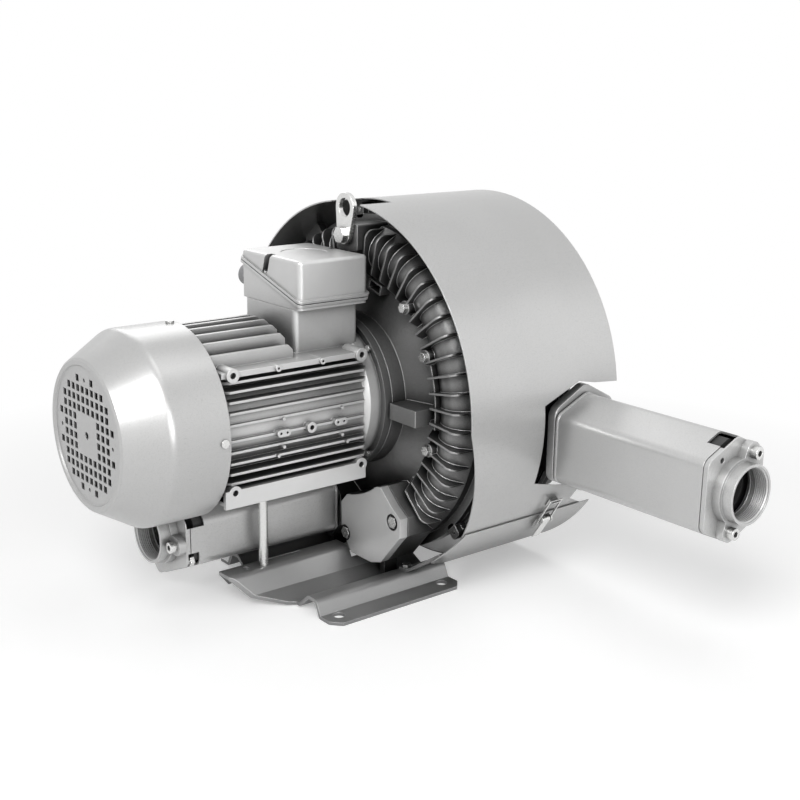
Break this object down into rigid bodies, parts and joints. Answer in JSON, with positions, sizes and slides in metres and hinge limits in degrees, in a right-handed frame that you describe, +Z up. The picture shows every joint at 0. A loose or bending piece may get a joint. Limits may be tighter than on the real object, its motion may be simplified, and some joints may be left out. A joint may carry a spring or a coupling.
{
  "type": "side_channel_blower",
  "caption": "Two-stage side channel blower with flanged motor, octagonal inlet and outlet silencers, cylindrical touch guard with draw latches, and a bent steel foot",
  "frame": {"origin": "centre of the four foot holes on the mounting plane", "axes": "+X along the motor axis from the fan to the blower, +Z up, -Y towards the outlet port"},
  "size_m": [0.565, 0.677, 0.464],
  "materials": {
    "grey_steel": "satin",
    "cast_aluminium": "satin",
    "painted_sheet": "satin",
    "zinc_steel": "bright",
    "electrical_steel": "dull",
    "copper_winding": "satin",
    "black_plastic": "matte",
    "grey_plastic": "matte",
    "black_rubber": "matte",
    "grey_foam": "matte"
  },
  "bodies": {
    "frame": {"base_plate": "grey_steel", "support_rod": "zinc_steel", "foot_brackets": "grey_steel", "bracket_bolts": "zinc_steel", "motor_housing": "cast_aluminium", "stator_core": "electrical_steel", "stator_windings": "copper_winding", "fan_end_shield": "cast_aluminium", "fan_end_bearing": "zinc_steel", "drive_end_bearing": "zinc_steel", "fan_cowl": "painted_sheet", "cowl_screws": "zinc_steel", "motor_flange_bolts": "zinc_steel", "terminal_box_base": "cast_aluminium", "terminal_box_lid": "cast_aluminium", "lid_gasket": "black_rubber", "lid_screws": "zinc_steel", "terminal_block": "black_plastic", "cable_gland": "grey_plastic", "front_casing": "cast_aluminium", "middle_casing": "cast_aluminium", "rear_casing": "cast_aluminium", "casing_bolts": "zinc_steel", "front_shaft_seal": "black_rubber", "middle_shaft_seal": "black_rubber", "lifting_lug": "zinc_steel", "lug_bolt": "zinc_steel", "port_cover": "cast_aluminium", "port_cover_gasket": "black_rubber", "port_cover_bolts": "zinc_steel", "inlet_silencer_body": "painted_sheet", "inlet_port_flange": "painted_sheet", "inlet_flange_bolts": "zinc_steel", "inlet_silencer_foam": "grey_foam", "inlet_gasket": "black_rubber", "outlet_silencer_body": "painted_sheet", "outlet_port_flange": "painted_sheet", "outlet_flange_bolts": "zinc_steel", "outlet_silencer_foam": "grey_foam", "outlet_gasket": "black_rubber", "silencer_mount_bolts": "zinc_steel", "guard_upper_shell": "painted_sheet", "guard_lower_tray": "painted_sheet", "guard_brackets": "painted_sheet", "near_latch_base": "zinc_steel", "near_latch_keeper": "zinc_steel", "far_latch_base": "zinc_steel", "far_latch_keeper": "zinc_steel", "latch_pins": "zinc_steel"},
    "rotor": {"rotor_shaft": "zinc_steel", "rotor_core": "electrical_steel", "cooling_fan": "black_plastic", "impeller_stage_1": "cast_aluminium", "impeller_stage_2": "cast_aluminium", "impeller_spacer": "zinc_steel", "impeller_nut": "zinc_steel"},
    "near_lever": {"near_latch_lever": "zinc_steel"},
    "near_bail": {"near_latch_bail": "zinc_steel"},
    "far_lever": {"far_latch_lever": "zinc_steel"},
    "far_bail": {"far_latch_bail": "zinc_steel"}
  },
  "joints": [
    {"name": "rotor_spin", "type": "hinge", "parent": "frame", "child": "rotor", "pos_m": [0, 0, 0.232], "axis": [1, 0, 0], "continuous": true},
    {"name": "near_lever_hinge", "type": "hinge", "parent": "frame", "child": "near_lever", "pos_m": [0.168, -0.18729, 0.08827], "axis": [-1, 0, 0], "range_deg": [0, 150]},
    {"name": "near_bail_hinge", "type": "hinge", "parent": "near_lever", "child": "near_bail", "pos_m": [0.168, -0.1831, 0.08386], "axis": [-1, 0, 0], "range_deg": [-150, 0]},
    {"name": "far_lever_hinge", "type": "hinge", "parent": "frame", "child": "far_lever", "pos_m": [0.168, 0.18529, 0.08827], "axis": [1, 0, 0], "range_deg": [0, 150]},
    {"name": "far_bail_hinge", "type": "hinge", "parent": "far_lever", "child": "far_bail", "pos_m": [0.168, 0.1811, 0.08386], "axis": [1, 0, 0], "range_deg": [-150, 0]}
  ],
  "couplings": [
    {"joint": "near_bail_hinge", "follows": "near_lever_hinge", "ratio": -1},
    {"joint": "far_bail_hinge", "follows": "far_lever_hinge", "ratio": -1}
  ]
}
